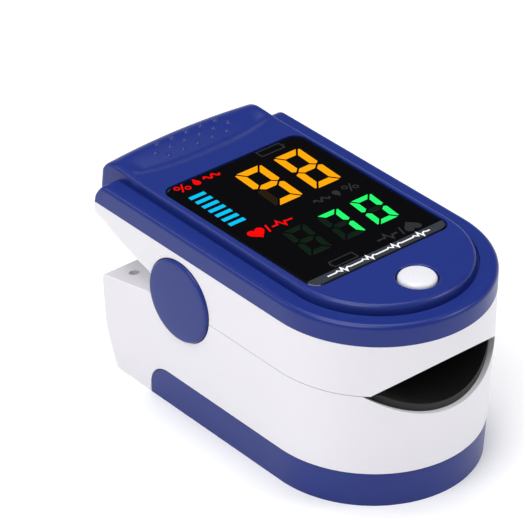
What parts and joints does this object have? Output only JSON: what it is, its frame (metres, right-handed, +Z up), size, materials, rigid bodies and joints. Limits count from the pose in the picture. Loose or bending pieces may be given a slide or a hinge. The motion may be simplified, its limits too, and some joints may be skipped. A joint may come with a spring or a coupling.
{
  "type": "fingertip pulse oximeter",
  "caption": "Fingertip pulse oximeter: two spring-closed jaws on a cross pin, a display window and round button on top, and a sliding battery cover below.",
  "frame": {"origin": "under the middle of the body, on the surface it rests on", "axes": "+Z up through the display, +Y from the finger opening to the squeezed end, +X to the right as the figures are read from the rear"},
  "size_m": [0.035, 0.0608, 0.032],
  "materials": {
    "casing_white": "satin moulded ABS",
    "cover_blue": "satin moulded ABS",
    "pad_rubber": "matte moulded silicone rubber",
    "window_acrylic": "polished smoked acrylic",
    "legend_grey": "printed ink",
    "display_black": "matte",
    "segment_orange": "lit LED resin",
    "segment_green": "lit LED resin",
    "segment_cyan": "lit LED resin",
    "segment_red": "lit LED resin",
    "button_white": "satin moulded ABS",
    "tray_plastic": "moulded ABS",
    "board_green": "solder mask on glass-epoxy laminate",
    "chip_black": "moulded epoxy",
    "optic_red": "polished infrared-pass acrylic",
    "led_clear": "clear epoxy",
    "cell_jacket": "printed foil sleeve",
    "spring_steel": "nickel-plated wire",
    "contact_steel": "nickel-plated strip",
    "pin_steel": "ground",
    "screw_steel": "zinc plated",
    "ribbon_film": "polyimide film",
    "socket_ivory": "moulded nylon"
  },
  "bodies": {
    "lower_jaw": {"lower_casing": "casing_white", "battery_tray": "tray_plastic", "lower_finger_pad": "pad_rubber", "sensor_board": "board_green", "photodiode": "chip_black", "sensor_window": "optic_red", "battery_left": "cell_jacket", "battery_right": "cell_jacket", "battery_spring_front": "spring_steel", "battery_spring_rear": "spring_steel", "front_contacts": "contact_steel", "rear_contact_bridge": "contact_steel", "tray_screws": "screw_steel", "hinge_pin": "pin_steel", "hinge_cap_left": "cover_blue", "hinge_cap_right": "cover_blue", "hinge_spring_left": "spring_steel", "hinge_spring_right": "spring_steel", "ribbon_cable": "ribbon_film"},
    "upper_jaw": {"upper_casing": "casing_white", "top_cover": "cover_blue", "upper_finger_pad": "pad_rubber", "emitter_led": "led_clear", "emitter_window": "optic_red", "main_board": "board_green", "ribbon_socket": "socket_ivory", "processor_chip": "chip_black", "power_inductor": "chip_black", "switch_body": "chip_black", "display_module": "display_black", "oxygen_digits": "segment_orange", "pulse_digits": "segment_green", "level_bars": "segment_cyan", "display_icons": "segment_red", "display_window": "window_acrylic", "legend_strip": "legend_grey", "casing_screws": "screw_steel"},
    "button": {"power_button": "button_white", "switch_plunger": "chip_black"},
    "cover": {"battery_cover": "cover_blue"}
  },
  "joints": [
    {"name": "jaw_hinge", "type": "hinge", "parent": "lower_jaw", "child": "upper_jaw", "pos_m": [0, 0.008, 0.0193], "axis": [-1, 0, 0], "range_deg": [0, 25], "stiffness_Nm_per_rad": 0.06, "springref_deg": -28.65, "deforming": ["hinge_spring_left", "hinge_spring_right", "ribbon_cable"]},
    {"name": "button_press", "type": "slide", "parent": "upper_jaw", "child": "button", "axis": [0, 0, -1], "range_m": [0, 0.0003], "stiffness_N_per_m": 1200, "springref_m": -0.0004},
    {"name": "battery_cover_slide", "type": "slide", "parent": "lower_jaw", "child": "cover", "axis": [0, -1, 0], "range_m": [0, 0.044]}
  ]
}
